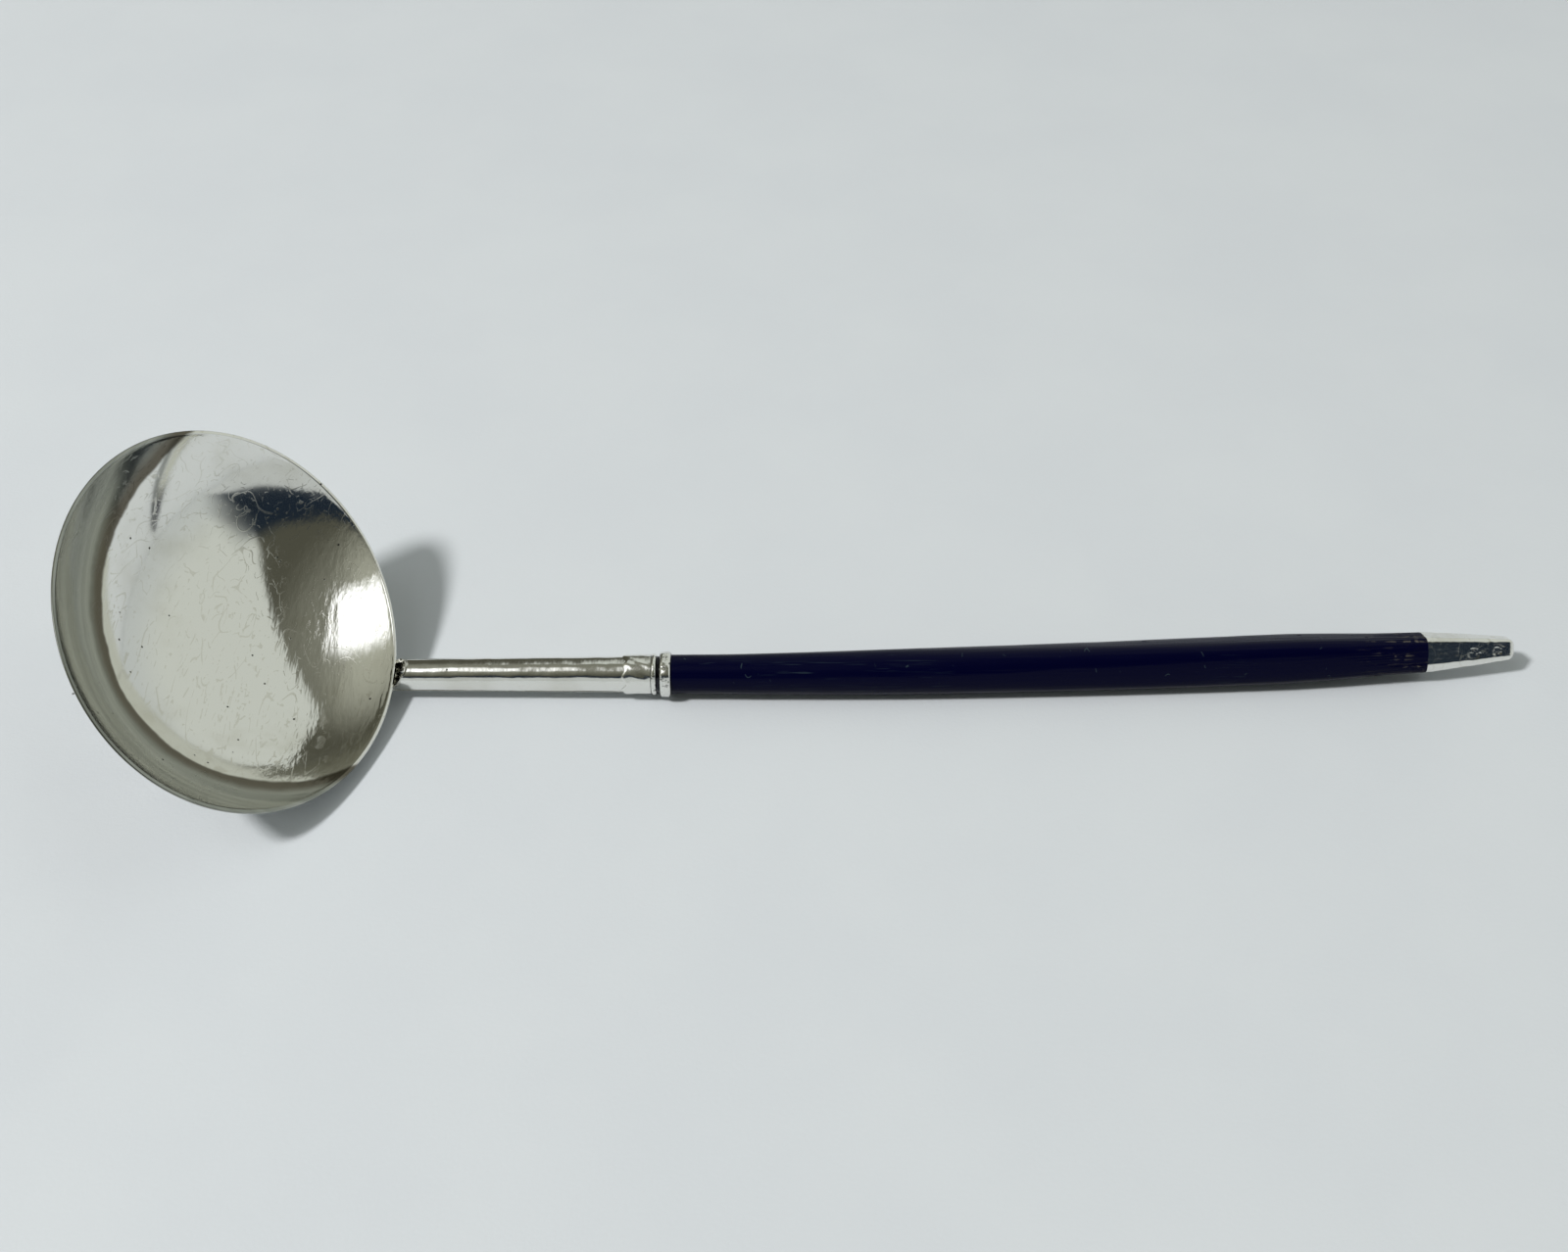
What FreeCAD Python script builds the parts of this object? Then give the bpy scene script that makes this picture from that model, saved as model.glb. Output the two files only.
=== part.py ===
import FreeCAD, Part
import math
import os

from FreeCAD import Matrix, Placement, Rotation, Vector

# A small silver ladle with an oval bowl and a dark, fibrous handle, lying as it comes to
# rest on a table: the rings and the handle's belly touch the table, and the bowl leans.
# Millimetres. +X runs along the stem towards the handle's tip, +Z is up, and the origin
# is the bottom centre of the whole ladle's box. Until the last lines, x = 0 is the place
# where the bowl's rim meets the stem, and the stem's own line is the X axis.

# ---- bowl -----------------------------------------------------------------------------
bowl_length = 45.2           # rim, measured in line with the handle, outside
bowl_width = 51.7            # rim, measured across the handle, outside
bowl_depth = 12.2            # rim plane to the lowest point of the outside
bowl_wall = 0.5
bowl_tilt = 39.6             # degrees between the stem and the rim plane
bowl_roll = -16.6            # degrees, the bowl's set about the stem's line
rim_above_axis = 0.3         # rim of the bowl above the stem's own line, where they join

# ---- stem, rolled from sheet, and the solder that holds it --------------------------------
stem_length = 29.1           # rim to the collar's front edge
stem_front_d = 4.1
stem_back_d = 4.75           # under the collar's back edge, where the tube ends
stem_wall = 0.45
stem_overrun = 9.0           # how far the tube runs on under the bowl before it is cut
seam_width = 0.22
seam_angle = -32.0           # degrees from level, on the side facing -Y
solder_spread = 0.55         # how far the solder stands out round the stem
solder_reach = 1.4           # how far it runs back along the stem from the rim
solder_lap = 1.0             # how far it runs forward of the rim as a full sleeve
joint_gap = 0.02             # left free between faces that are soldered or glued

# ---- socket, rings and the cross pin --------------------------------------------------
collar_length = 3.7
collar_wall = 0.22
bead_length = 0.75
bead_stand = 0.30            # how far the bead stands out from the stem
bead_edge = 0.3              # rounding of its two edges
ring_length = 1.5
ring_stand = 0.55
ring_edge = 0.45
groove_length = 0.35         # dark groove between bead and ring
groove_depth = 0.35          # below the bead
tenon_length = 13.0          # the handle's tapered tenon inside the socket
tenon_clearance = 0.12       # room for the cement round the tenon
tenon_end_gap = 0.3          # room for the cement at its end
pin_d = 0.9
pin_place = 0.55             # share of the collar's length
pin_turn = -60.0             # degrees about the stem's line

# ---- handle ---------------------------------------------------------------------------
handle_length = 97.0
handle_front_d = 5.1
handle_belly_d = 5.95
handle_back_d = 4.85
belly_start = 0.36           # where the handle reaches its full thickness, share of length
belly_end = 0.80
front_squareness = 2.0       # 2 is round, larger is squarer
back_squareness = 3.4
squaring_start = 0.2         # where the section starts and ends its change, share of length
squaring_end = 0.9
facet_turn = -24.0           # degrees the squared section is turned about its own line
handle_sweep = 3.9           # sideways bend at the cap's end, towards +Y
handle_rise = 0.7            # upward bend at the cap's end
bend_start = 0.10            # share of the handle that stays straight behind the rings

# ---- end cap ----------------------------------------------------------------------------
cap_length = 11.6
cap_tip_d = 2.7
cap_wall = 0.4
cap_end_wall = 1.2
cap_edge = 0.65              # rounding of the tip
cap_taper = 1.15             # 1 tapers evenly, more keeps the cap full near the handle
spigot_length = 8.4          # tapered end of the handle inside the cap
spigot_clearance = 0.10

# ---- how finely the curved shapes are drawn, and how far cutters stand clear ---------------
outline_points = 20
body_spans = 10
spigot_spans = 4
cap_spans = 6
root = 0.5                   # how far a tenon, spigot or cutter starts inside its neighbour
clear = 1.0                  # how far a cutter runs past what it cuts

# ---- stations along the stem's line ---------------------------------------------------------
collar_start = stem_length
collar_end = collar_start + collar_length
bead_end = collar_end + bead_length
ring_start = bead_end + groove_length
shoulder = ring_start + ring_length
body_end = shoulder + handle_length
cap_end = body_end + cap_length


def eased(share):
    """Rises smoothly from 0 to 1."""
    share = min(1.0, max(0.0, share))
    return share * share * (3.0 - 2.0 * share)


def stem_radius(x):
    """Outside radius of the tapered stem at station x."""
    return 0.5 * (stem_front_d + (stem_back_d - stem_front_d) * x / collar_end)


def handle_diameter(share):
    """Thickness of the handle at a share of its length."""
    if share < belly_end:
        return handle_front_d + (handle_belly_d - handle_front_d) * eased(share / belly_start)
    return handle_belly_d + (handle_back_d - handle_belly_d) * eased((share - belly_end) / (1 - belly_end))


def squareness(share):
    """Exponent of the handle's section, round in front and squared behind."""
    change = eased((share - squaring_start) / (squaring_end - squaring_start))
    return front_squareness + (back_squareness - front_squareness) * change


def cap_diameter(x):
    """Outside of the end cap at station x, and of the handle just in front of it."""
    share = max(0.0, x - body_end) / cap_length
    return handle_back_d + (cap_tip_d - handle_back_d) * share ** cap_taper


def spine(x):
    """Centre line of the ladle: straight stem, then a gentle bend to the cap's end."""
    bend_from = shoulder + bend_start * handle_length
    share = max(0.0, (x - bend_from) / (cap_end - bend_from))
    return Vector(x, handle_sweep * share ** 1.5, handle_rise * share ** 2)


def section(x, diameter, power):
    """Closed smooth outline across the centre line at station x."""
    ahead = spine(x + clear) - spine(x - clear)
    to_spine = Rotation(Vector(1, 0, 0), ahead)
    points = []
    for step in range(outline_points):
        angle = 2 * math.pi * step / outline_points
        fullness = abs(math.cos(angle)) ** power + abs(math.sin(angle)) ** power
        reach = 0.5 * diameter / fullness ** (1.0 / power)
        toward = angle + math.radians(facet_turn)
        flat = Vector(0, reach * math.cos(toward), reach * math.sin(toward))
        points.append(spine(x) + to_spine.multVec(flat))
    curve = Part.BSplineCurve()
    curve.interpolate(Points=points, PeriodicFlag=True)
    return Part.Wire([curve.toShape()])


def tube_along(stations):
    """Solid through sections given as (station, diameter, squareness)."""
    return Part.makeLoft([section(*station) for station in stations], True, False)


def spaced(start, end, spans):
    """Stations from start to end, evenly spaced."""
    return [start + (end - start) * step / spans for step in range(spans + 1)]


def rod(start, end, diameter):
    """Cylinder on the stem's line."""
    return Part.makeCylinder(0.5 * diameter, end - start, Vector(start, 0, 0), Vector(1, 0, 0))


def turned(profile):
    """Solid turned about the stem's line from (station, radius) corners."""
    corners = [Vector(x, 0, r) for x, r in profile]
    wire = Part.makePolygon(corners + corners[:1])
    return Part.Face(wire).revolve(Vector(0, 0, 0), Vector(1, 0, 0), 360)


def rounded_ring(start, end, outer_d, edge):
    """Turned ring over the handle's tenon with its two outer edges rounded."""
    ring = rod(start, end, outer_d)
    rims = [e for e in ring.Edges if len(e.Vertexes) == 1 and abs(e.Length - math.pi * outer_d) < joint_gap]
    edge = min(edge, 0.45 * (end - start))
    return ring.makeFillet(edge, rims).cut(rod(start - clear, end + clear, bore_d))


def cap_of_ellipsoid(grow):
    """The bowl's outside as a solid, grown by a thickness. Its flat top is the rim, z = 0."""
    length = bowl_length + 2 * grow
    width = bowl_width + 2 * grow
    depth = bowl_depth + grow
    sphere_radius = (0.25 * length ** 2 + depth ** 2) / (2 * depth)
    ball = Part.makeSphere(sphere_radius)
    ball.rotate(Vector(0, 0, 0), Vector(1, 0, 0), 90)
    ball.rotate(Vector(0, 0, 0), Vector(0, 1, 0), -90)
    widen = Matrix()
    widen.scale(1.0, width / length, 1.0)
    ball = ball.transformGeometry(widen)
    ball.translate(Vector(0, 0, sphere_radius - depth))
    room = 4 * (length + width)
    lid = Part.makeBox(room, room, room, Vector(-0.5 * room, -0.5 * room, 0))
    return ball.cut(lid)


def over_the_rim(grow):
    """Straight oval column that stands on the rim, to clear away what would stand in the bowl."""
    column = Part.makeCylinder(1.0, bowl_depth)
    widen = Matrix()
    widen.scale(0.5 * bowl_length + grow, 0.5 * bowl_width + grow, 1.0)
    return column.transformGeometry(widen)


def set_on_stem(shape):
    """Puts a shape drawn on the bowl's rim plane over the stem's front end, tilted and rolled."""
    slide = Placement(Vector(-0.5 * bowl_length, 0, 0), Rotation())
    tilt = Placement(Vector(0, 0, 0), Rotation(Vector(0, 1, 0), bowl_tilt))
    roll = Placement(Vector(0, 0, rim_above_axis), Rotation(Vector(1, 0, 0), -bowl_roll))
    moved = shape.copy()
    moved.Placement = roll.multiply(tilt).multiply(slide).multiply(moved.Placement)
    return moved


# ---- bowl: one piece of raised sheet ------------------------------------------------------
bowl_block = set_on_stem(cap_of_ellipsoid(0.0))
bowl = bowl_block.cut(set_on_stem(cap_of_ellipsoid(-bowl_wall)))
keep_off = set_on_stem(cap_of_ellipsoid(joint_gap)).fuse(set_on_stem(over_the_rim(joint_gap)))

# ---- stem: tapered tube rolled from sheet, its seam open for the solder ---------------------
front_r = stem_radius(-stem_overrun)
back_r = stem_radius(collar_end)
bore_d = 2 * (back_r - stem_wall)
stem_solid = turned([(-stem_overrun, 0), (-stem_overrun, front_r), (collar_end, back_r), (collar_end, 0)])
stem_bore = turned([(-stem_overrun - clear, 0), (-stem_overrun - clear, front_r - stem_wall),
                    (collar_end + clear, back_r - stem_wall), (collar_end + clear, 0)])
seam_cutter = Part.makeBox(collar_end + stem_overrun, seam_width, stem_back_d,
                           Vector(-stem_overrun, -0.5 * seam_width, 0))
seam_cutter.rotate(Vector(0, 0, 0), Vector(1, 0, 0), 90 - seam_angle)
stem_skin = stem_solid.cut(stem_bore).cut(keep_off)
stem_tube = stem_skin.cut(seam_cutter)
stem_seam = stem_skin.common(seam_cutter)

# ---- solder round the stem's front end and along the bowl's underside ------------------------
flare_r = stem_radius(0) + solder_spread
flare = turned([(-stem_overrun, 0), (-stem_overrun, flare_r), (0, flare_r),
                (solder_reach, stem_radius(solder_reach) + joint_gap), (solder_reach, 0)])
solder_room = set_on_stem(cap_of_ellipsoid(solder_spread)).fuse(rod(-solder_lap, solder_reach, 3 * flare_r))
bowl_solder = flare.common(solder_room).cut(stem_solid).cut(keep_off)

# ---- socket: the collar and the two turned rings over the stem's back end ---------------------
collar_d = stem_back_d + 2 * collar_wall
bead_d = stem_back_d + 2 * bead_stand
ring_d = stem_back_d + 2 * ring_stand
collar_solid = rod(collar_start, collar_end, collar_d)
groove = rod(bead_end, ring_start, bead_d - 2 * groove_depth)
groove = groove.cut(rod(bead_end - clear, ring_start + clear, bore_d))
front_bead = rounded_ring(collar_end, bead_end, bead_d, bead_edge).fuse(groove)
rear_ring = rounded_ring(ring_start, shoulder, ring_d, ring_edge)

# ---- cross pin through the collar, stem and tenon ---------------------------------------------
pin_station = collar_start + pin_place * collar_length
pin_hole = Part.makeCylinder(0.5 * pin_d, collar_d + 2 * clear,
                             Vector(pin_station, -0.5 * collar_d - clear, 0), Vector(0, 1, 0))
pin_hole.rotate(Vector(0, 0, 0), Vector(1, 0, 0), pin_turn)
socket_pin = pin_hole.common(collar_solid)
socket_collar = collar_solid.cut(stem_solid).cut(pin_hole)
stem_tube = stem_tube.cut(pin_hole)
stem_seam = stem_seam.cut(pin_hole)

# ---- handle: tapered tenon, swelling body and tapered spigot in one dark piece --------------------
body_stations = []
for x in spaced(shoulder, body_end, body_spans):
    share = (x - shoulder) / handle_length
    body_stations.append((x, handle_diameter(share), squareness(share)))
spigot_inset = 2 * (cap_wall + spigot_clearance)
spigot_stations = []
for x in spaced(body_end - root, body_end + spigot_length, spigot_spans):
    spigot_stations.append((x, cap_diameter(x) - spigot_inset, back_squareness))
tenon_from = shoulder - tenon_length
tenon_front_r = stem_radius(tenon_from) - stem_wall - tenon_clearance
tenon_back_r = 0.5 * bore_d - tenon_clearance
tenon = turned([(tenon_from, 0), (tenon_from, tenon_front_r), (collar_end, tenon_back_r),
                (shoulder + root, tenon_back_r), (shoulder + root, 0)])
handle = tube_along(body_stations).fuse(tenon).fuse(tube_along(spigot_stations)).cut(pin_hole)

# ---- cement round the tenon: it fills the tube's bore, then the rings' bore up to the handle ---
cement_room = rod(tenon_from - tenon_end_gap, collar_end, 2 * stem_back_d).common(stem_bore)
cement_room = cement_room.fuse(rod(collar_end, shoulder, bore_d))
socket_cement = cement_room.cut(handle).cut(pin_hole)

# ---- end cap: raised from sheet, closed and rounded at its tip ----------------------------------
cap_stations = []
for x in spaced(body_end, cap_end, cap_spans):
    cap_stations.append((x + joint_gap, cap_diameter(x), back_squareness))
hollow_stations = []
for x in spaced(body_end - root, cap_end - cap_end_wall, cap_spans):
    hollow_stations.append((x, cap_diameter(x) - 2 * cap_wall, back_squareness))
cap_block = tube_along(cap_stations)
cap_hollow = tube_along(hollow_stations)
tip_rims = [e for e in cap_block.Edges if e.BoundBox.XMin > cap_end - root]
end_cap = cap_block.makeFillet(min(cap_edge, 0.3 * cap_tip_d), tip_rims).cut(cap_hollow)
cap_cement = cap_hollow.cut(handle).common(cap_block)

pieces = {
    "bowl": bowl,
    "bowl_solder": bowl_solder,
    "stem_tube": stem_tube,
    "stem_seam": stem_seam,
    "socket_collar": socket_collar,
    "front_bead": front_bead,
    "rear_ring": rear_ring,
    "handle": handle,
    "socket_pin": socket_pin,
    "socket_cement": socket_cement,
    "end_cap": end_cap,
    "cap_cement": cap_cement,
}

box = Part.makeCompound(list(pieces.values())).optimalBoundingBox(False)
to_table = Vector(-0.5 * (box.XMin + box.XMax), -0.5 * (box.YMin + box.YMax), -box.ZMin)

os.makedirs("parts", exist_ok=True)
for name, shape in pieces.items():
    shape.translate(to_table)
    shape.exportStep("parts/" + name + ".step")
    low = shape.optimalBoundingBox(False)
    print("%-14s solids %d valid %s volume %.2f  x %.2f..%.2f y %.2f..%.2f z %.2f..%.2f" % (
        name, len(shape.Solids), shape.isValid(), shape.Volume,
        low.XMin, low.XMax, low.YMin, low.YMax, low.ZMin, low.ZMax))
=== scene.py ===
import math

import bmesh
import bpy
from mathutils import Matrix, Vector, noise


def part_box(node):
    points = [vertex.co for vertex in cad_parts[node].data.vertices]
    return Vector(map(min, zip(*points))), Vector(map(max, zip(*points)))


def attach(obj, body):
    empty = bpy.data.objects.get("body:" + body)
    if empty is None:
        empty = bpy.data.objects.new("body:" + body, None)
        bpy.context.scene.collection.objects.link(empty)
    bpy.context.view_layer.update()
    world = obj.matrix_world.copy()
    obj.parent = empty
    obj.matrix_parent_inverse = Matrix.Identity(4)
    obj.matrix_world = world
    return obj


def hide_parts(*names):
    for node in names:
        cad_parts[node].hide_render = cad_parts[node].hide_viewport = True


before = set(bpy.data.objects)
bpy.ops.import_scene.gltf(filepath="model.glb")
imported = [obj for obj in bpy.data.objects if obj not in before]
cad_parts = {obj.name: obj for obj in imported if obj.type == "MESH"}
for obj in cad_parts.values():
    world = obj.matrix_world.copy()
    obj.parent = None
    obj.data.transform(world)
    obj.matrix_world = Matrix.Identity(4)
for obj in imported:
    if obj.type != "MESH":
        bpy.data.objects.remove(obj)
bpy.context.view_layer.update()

# ---- bowl ---------------------------------------------------------------------------------
# One piece of raised silver sheet, oval and fairly shallow, planished smooth inside. Years of
# use have left hairlines, small pits and a less polished wall below the rim. That wall also
# carries a painted reflection: dark bands and a dark line for the room mirrored there. It is
# soldered to the stem by its rim.

BOWL_LENGTH = 0.0452
BOWL_WIDTH = 0.0517
BOWL_DEPTH = 0.0122
BOWL_WALL = 0.0005
BOWL_TILT = math.radians(39.6)
BOWL_ROLL = math.radians(-16.6)
BOWL_PROFILE_STEPS = 64
BOWL_TURN_STEPS = 192
LIP_STEPS = 5
LIP_ROUNDING = 0.35
WAVER_SIZE = 0.0105
WAVER_DEPTH = 0.00011
RIPPLE_PITCH = 0.0024
RIPPLE_DEPTH = 0.000010
RIPPLE_START = 0.55
RIPPLE_FADE = 0.2
SILVER = (0.84, 0.835, 0.79)
TARNISH = (0.50, 0.47, 0.36)
# Painted reflection: the inside wall away from the stem is darkened in bands, with a dark line at its
# inner edge, for the room mirrored there.
REFLECTION_CENTRE = (0.34, 0.28, 0)
REFLECTION_START = 0.975
REFLECTED_LIGHT_BAND = (0.44, 0.45, 0.41)
REFLECTED_DARK_BAND = (0.25, 0.26, 0.23)
REFLECTED_DARK_LINE = (0.15, 0.135, 0.105)
REFLECTED_BAND_PITCH = 0.085
STREAK_SIZE = 0.0009
STREAK_HEIGHT = 4.5
PIT_TONE = (0.05, 0.05, 0.04)
PIT_SPACING = 0.0019
PIT_SIZE = 0.10
PIT_RARITY = 0.66
SCRATCHES = (  # length of the curls, width, turn, share of the places left bare
    (0.0040, 0.009, (0.3, 0.5, 0.2), 0.48),
    (0.0024, 0.012, (1.1, 0.2, 1.4), 0.50),
    (0.0060, 0.005, (0.4, 1.3, 2.2), 0.46),
    (0.0014, 0.020, (2.4, 0.7, 0.9), 0.54),
)
SCRATCH_STAIN = 0.30


class Wire:
    """A socket in a material. Sums and products of wires add the Math nodes for them."""

    def __init__(self, tree, socket):
        self.tree = tree
        self.socket = socket

    def node(self, kind, settings=(), sockets=(), out=0):
        made = self.tree.nodes.new("ShaderNode" + kind)
        for name, value in dict(settings).items():
            setattr(made, name, value)
        for name, value in dict(sockets).items():
            if isinstance(value, Wire):
                self.tree.links.new(value.socket, made.inputs[name])
            elif hasattr(value, "__len__") and len(made.inputs[name].default_value) == 4:
                made.inputs[name].default_value = (*value, 1.0)
            else:
                made.inputs[name].default_value = value
        return Wire(self.tree, made.outputs[out])

    def math(self, operation, *values, clamp=False):
        return self.node("Math", {"operation": operation, "use_clamp": clamp}, dict(enumerate(values)))

    def __add__(self, other):
        return self.math("ADD", self, other)

    __radd__ = __add__

    def __mul__(self, other):
        return self.math("MULTIPLY", self, other)

    __rmul__ = __mul__

    def __sub__(self, other):
        return self.math("SUBTRACT", self, other)

    def __rsub__(self, other):
        return self.math("SUBTRACT", other, self)

    def least(self, other):
        return self.math("MINIMUM", self, other)

    def most(self, other):
        return self.math("MAXIMUM", self, other)

    def dot(self, direction):
        """How far a direction's wire points along a given one, from -1 to 1."""
        sockets = {0: self, 1: direction}
        return self.node("VectorMath", {"operation": "DOT_PRODUCT"}, sockets, out=1)

    def step(self, low, high):
        """0 below low, 1 above high and smooth between."""
        sockets = {"Value": self, "From Min": low, "From Max": high}
        return self.node("MapRange", {"interpolation_type": "SMOOTHSTEP"}, sockets)

    def mix(self, first, second):
        """Colour that goes from the first to the second as this wire goes from 0 to 1."""
        return self.node("Mix", {"data_type": "RGBA"}, {0: self, 6: first, 7: second}, out=2)

    def split(self, axis):
        return self.node("SeparateXYZ", {}, {0: self}, out=axis)


def new_material(name):
    """Empty material with its shader; returns the material, the shader and a wire of places."""
    made = bpy.data.materials.new(name)
    made.use_nodes = True
    tree = made.node_tree
    shader = tree.nodes["Principled BSDF"]
    return made, shader, Wire(tree, tree.nodes.new("ShaderNodeTexCoord").outputs["Object"])


def feed(shader, name, wire):
    wire.tree.links.new(wire.socket, shader.inputs[name])


def emboss(shader, height, strength, depth):
    """Feeds the shader's normal from a wire of heights."""
    sockets = {"Strength": strength, "Distance": depth, "Height": height}
    feed(shader, "Normal", height.node("Bump", {}, sockets))


def clouds(place, size, detail=2.0, stretch=(1, 1, 1), turn=(0, 0, 0), shift=(0, 0, 0)):
    """Soft noise from 0 to 1 with lumps of a size in metres, squeezed, turned and shifted."""
    scale = tuple(s / size for s in stretch)
    sockets = {"Vector": place, "Scale": scale, "Rotation": turn, "Location": shift}
    moved = place.node("Mapping", {}, sockets)
    sockets = {"Vector": moved, "Scale": 1.0, "Detail": detail, "Roughness": 0.55}
    return moved.node("TexNoise", {}, sockets)


def hairlines(place, size, width, turn, share):
    """Thin crooked scratches: 1 on a line, 0 off it, and only in a share of the places."""
    curl = clouds(place, size, 1.0, stretch=(1, 0.16, 1), turn=turn, shift=turn) - 0.5
    shown = clouds(place, size * 0.5, 1.0, shift=turn[::-1]).step(share, share + 0.05)
    return (1.0 - curl.math("ABSOLUTE", curl).step(width * 0.3, width)) * shown


def pits(place, spacing, size, rarity):
    """Small round pits: 1 in a pit, and only in a few of the cells."""
    sockets = {"Vector": place, "Scale": 1.0 / spacing}
    spots = place.node("TexVoronoi", {}, sockets)
    pick = place.node("TexVoronoi", {}, sockets, out="Color")
    chosen = pick.node("SeparateColor", {}, {"Color": pick}).step(rarity, rarity + 0.01)
    return (1.0 - spots.step(size * 0.5, size)) * chosen


def silver(name, gloss=0.08, hammer=0.5, hammer_size=0.0011, tarnish=0.3, scratched=1.0, wear_and_reflection=None):
    """Polished old silver with scratches, pits, planishing marks and patches of tarnish. The
    wear_and_reflection function gives, at a place, a mask, its tone and extra height: on the rings
    dark creases, on the bowl a painted reflection of the room on the inside wall."""
    made, shader, place = new_material(name)
    lines = hairlines(place, *SCRATCHES[0])
    for scratch in SCRATCHES[1:]:
        lines = lines + hairlines(place, *scratch)
    lines = lines.least(1.0) * scratched
    holes = pits(place, PIT_SPACING, PIT_SIZE, PIT_RARITY)
    smear = clouds(place, 0.008, 3.0)
    grain = clouds(place, 0.0004, 2.0, stretch=(1, 2.5, 1))
    age = clouds(place, 0.011, 4.0, shift=(0.3, 0.1, 0.7)).step(0.50, 0.80)
    tone = (age * tarnish).most(lines * SCRATCH_STAIN).mix(SILVER, TARNISH)
    rough = gloss + smear * 0.05 + grain * 0.03 + lines * 0.14 + age * 0.06 + holes * 0.4
    dents = clouds(place, hammer_size, 1.0, stretch=(1, 0.6, 1)) * hammer
    if wear_and_reflection:
        # On the bowl this mask and tone paint a reflection of the room on the inside wall; on the rings
        # they darken the creases.
        worn, wear_and_reflection_tone, ridges = wear_and_reflection(place)
        tone = worn.mix(tone, wear_and_reflection_tone)
        dents = dents + ridges
        rough = rough + worn * 0.03
    feed(shader, "Base Color", holes.mix(tone, PIT_TONE))
    feed(shader, "Roughness", rough)
    emboss(shader, smear * 0.6 + dents - lines * 0.25 - holes, 0.15, 0.00006)
    shader.inputs["Metallic"].default_value = 1.0
    return made


def finished(name, mesh, material, nodes, sharp=None):
    """Turns a bmesh into a piece that stands for its CAD nodes."""
    bmesh.ops.remove_doubles(mesh, verts=mesh.verts, dist=1e-7)
    bmesh.ops.recalc_face_normals(mesh, faces=mesh.faces)
    data = bpy.data.meshes.new(name)
    mesh.to_mesh(data)
    mesh.free()
    for face in data.polygons:
        face.use_smooth = True
    if sharp:
        data.set_sharp_from_angle(angle=math.radians(sharp))
    data.materials.append(material)
    piece = bpy.data.objects.new(name, data)
    bpy.context.collection.objects.link(piece)
    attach(piece, "root")
    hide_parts(*nodes)


def bowl_arc(radius, depth):
    """Points of the bowl's section from its lowest point up to the rim plane."""
    sphere = (radius ** 2 + depth ** 2) / (2 * depth)
    reach = math.asin(radius / sphere)
    for step in range(BOWL_PROFILE_STEPS + 1):
        angle = reach * step / BOWL_PROFILE_STEPS
        yield Vector((sphere * math.sin(angle), 0, sphere - depth - sphere * math.cos(angle)))


def centre_shift(mesh, node):
    """How far a mesh has to move for its box to have the same middle as its CAD node's box."""
    low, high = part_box(node)
    mine_low = Vector([min(v.co[k] for v in mesh.verts) for k in range(3)])
    mine_high = Vector([max(v.co[k] for v in mesh.verts) for k in range(3)])
    return (low + high) / 2 - (mine_low + mine_high) / 2


bowl_mesh = bmesh.new()
outer = list(bowl_arc(BOWL_LENGTH / 2, BOWL_DEPTH))
inner = list(bowl_arc(BOWL_LENGTH / 2 - BOWL_WALL, BOWL_DEPTH - BOWL_WALL))
rim_centre = (outer[-1] + inner[-1]) / 2
lip = []
for step in range(1, LIP_STEPS):
    around = math.pi * step / LIP_STEPS
    out = (outer[-1] - rim_centre) * math.cos(around)
    lip.append(rim_centre + out + Vector((0, 0, BOWL_WALL * LIP_ROUNDING * math.sin(around))))
lip_height = max(point.z for point in lip)
section = [bowl_mesh.verts.new(point) for point in outer + lip + inner[::-1]]
edges = [bowl_mesh.edges.new(pair) for pair in zip(section, section[1:])]
bmesh.ops.spin(bowl_mesh, geom=section + edges, cent=(0, 0, 0), axis=(0, 0, 1), angle=math.tau,
               steps=BOWL_TURN_STEPS, use_merge=True)
bmesh.ops.scale(bowl_mesh, vec=(1, BOWL_WIDTH / BOWL_LENGTH, 1), verts=bowl_mesh.verts)
for vert in bowl_mesh.verts:
    rim_share = Vector((vert.co.x * 2 / BOWL_LENGTH, vert.co.y * 2 / BOWL_WIDTH)).length
    held = 1 - min(1.0, rim_share) ** 6
    vert.co.z += WAVER_DEPTH * held * noise.noise(vert.co / WAVER_SIZE + Vector((3.1, 1.7, 0.4)))
    ring = math.sin(math.tau * vert.co.length / RIPPLE_PITCH + 2 * noise.noise(vert.co / WAVER_SIZE))
    vert.co.z += RIPPLE_DEPTH * ring * held * min(1.0, max(0.0, (rim_share - RIPPLE_START) / RIPPLE_FADE))
to_stem = (Matrix.Rotation(-BOWL_ROLL, 4, "X") @ Matrix.Rotation(BOWL_TILT, 4, "Y")
           @ Matrix.Translation((-BOWL_LENGTH / 2, 0, -lip_height)))
bmesh.ops.transform(bowl_mesh, matrix=to_stem, verts=bowl_mesh.verts)
bowl_shift = centre_shift(bowl_mesh, "bowl")
bmesh.ops.translate(bowl_mesh, vec=bowl_shift, verts=bowl_mesh.verts)
bowl_seat = Matrix.Translation(bowl_shift) @ to_stem
from_seat = bowl_seat.inverted()


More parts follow.
